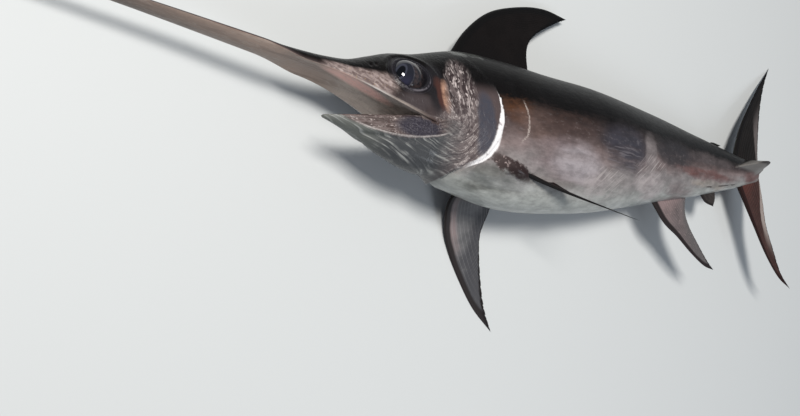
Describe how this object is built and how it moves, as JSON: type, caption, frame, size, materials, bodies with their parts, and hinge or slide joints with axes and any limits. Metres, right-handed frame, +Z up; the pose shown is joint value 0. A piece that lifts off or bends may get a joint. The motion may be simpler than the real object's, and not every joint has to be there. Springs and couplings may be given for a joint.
{
  "type": "swordfish model",
  "caption": "Life-size still swordfish, as landed: it lies on its right flank with mouth open, long flat bill, tall first dorsal fin and crescent tail; one rigid piece.",
  "frame": {"origin": "the middle of the small flat on the right flank on which the fish rests, at floor height", "axes": "+X from the bill to the tail, +Y towards the back of the fish, +Z up, out of the left flank"},
  "size_m": [3.124, 1.2259, 0.4394],
  "materials": {
    "bill_skin": "wet skin over bone",
    "head_skin": "wet, smooth, wrinkled at the gills",
    "body_skin": "wet, smooth, no scales",
    "fin": "wet, stiff, with low rays",
    "eye": "polished"
  },
  "bodies": {
    "root": {"bill": "bill_skin", "head": "head_skin", "lower_jaw": "head_skin", "eye_left": "eye", "eye_right": "eye", "torso_front": "body_skin", "torso_rear": "body_skin", "tail_stalk": "body_skin", "keel_left": "body_skin", "keel_right": "body_skin", "first_dorsal_fin": "fin", "second_dorsal_fin": "fin", "first_anal_fin": "fin", "second_anal_fin": "fin", "caudal_fin_upper": "fin", "caudal_fin_lower": "fin", "pectoral_fin_left": "fin", "pectoral_fin_right": "fin"}
  },
  "joints": []
}
